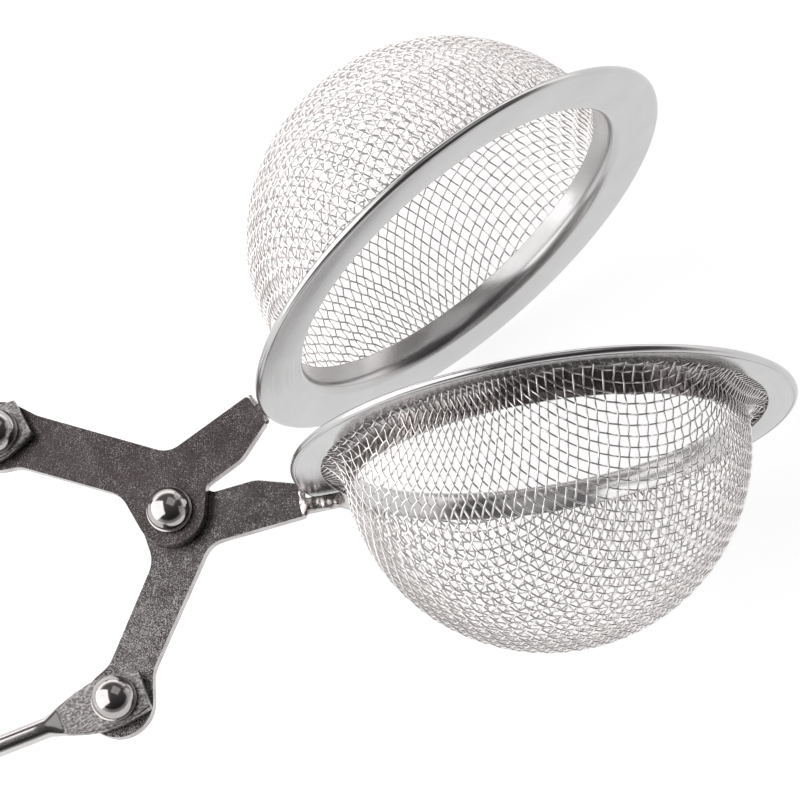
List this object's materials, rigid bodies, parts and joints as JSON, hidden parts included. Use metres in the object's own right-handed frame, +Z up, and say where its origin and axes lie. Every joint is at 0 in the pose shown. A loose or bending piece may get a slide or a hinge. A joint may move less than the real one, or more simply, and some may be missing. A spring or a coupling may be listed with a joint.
{
  "type": "tea infuser",
  "caption": "Snap-ball tea infuser: woven steel mesh bowls in flanged rims that close together on riveted scissor levers worked by a sprung wire handle.",
  "frame": {"origin": "on the table, under the middle of the overall box", "axes": "+X from the handle towards the bowls, +Y from the rear jaw's bowl towards the front jaw's bowl, +Z up from the table. The infuser lies with the pivots' axes 9.3 degrees off vertical, on the edges of its rims and the bend of its handle"},
  "size_m": [0.1694, 0.0662, 0.0519],
  "materials": {
    "rims": "satin stamped stainless steel with a rolled edge",
    "wire_cloth": "bright plain-woven stainless wire cloth",
    "levers": "dark tumbled steel plate with bright cut edges",
    "rivets": "polished domes",
    "handle_wire": "polished round wire with flattened, grained ends"
  },
  "bodies": {
    "handle_upper": {"handle_wire_upper": "handle_wire", "upper_handle_rivet": "rivets"},
    "front_jaw": {"front_lever": "levers", "upper_collar_ring": "rims", "upper_back_ring": "rims", "upper_mesh_bowl": "wire_cloth", "pivot_rivet": "rivets"},
    "rear_jaw": {"rear_lever": "levers", "lower_collar_ring": "rims", "lower_back_ring": "rims", "lower_mesh_bowl": "wire_cloth"},
    "handle_lower": {"handle_wire_lower": "handle_wire", "lower_handle_rivet": "rivets"}
  },
  "joints": [
    {"name": "upper_handle_pivot", "type": "hinge", "parent": "handle_upper", "child": "front_jaw", "pos_m": [0.00938, 0.01555, 0.0148], "axis": [-0.1618, 0, 0.9868], "range_deg": [-17.1, 11.4]},
    {"name": "jaw_pivot", "type": "hinge", "parent": "front_jaw", "child": "rear_jaw", "pos_m": [0.02226, 0, 0.01691], "axis": [0.1618, 0, -0.9868], "range_deg": [-30, 20], "stiffness_Nm_per_rad": 0.07, "springref_deg": -63.03},
    {"name": "handle_flex", "type": "hinge", "parent": "handle_upper", "child": "handle_lower", "pos_m": [-0.08362, 0, 0.00107], "axis": [-0.1618, 0, 0.9868], "range_deg": [-4, 2.7]}
  ],
  "couplings": [
    {"joint": "upper_handle_pivot", "follows": "jaw_pivot", "ratio": 0.5654},
    {"joint": "handle_flex", "follows": "jaw_pivot", "ratio": 0.1308}
  ]
}
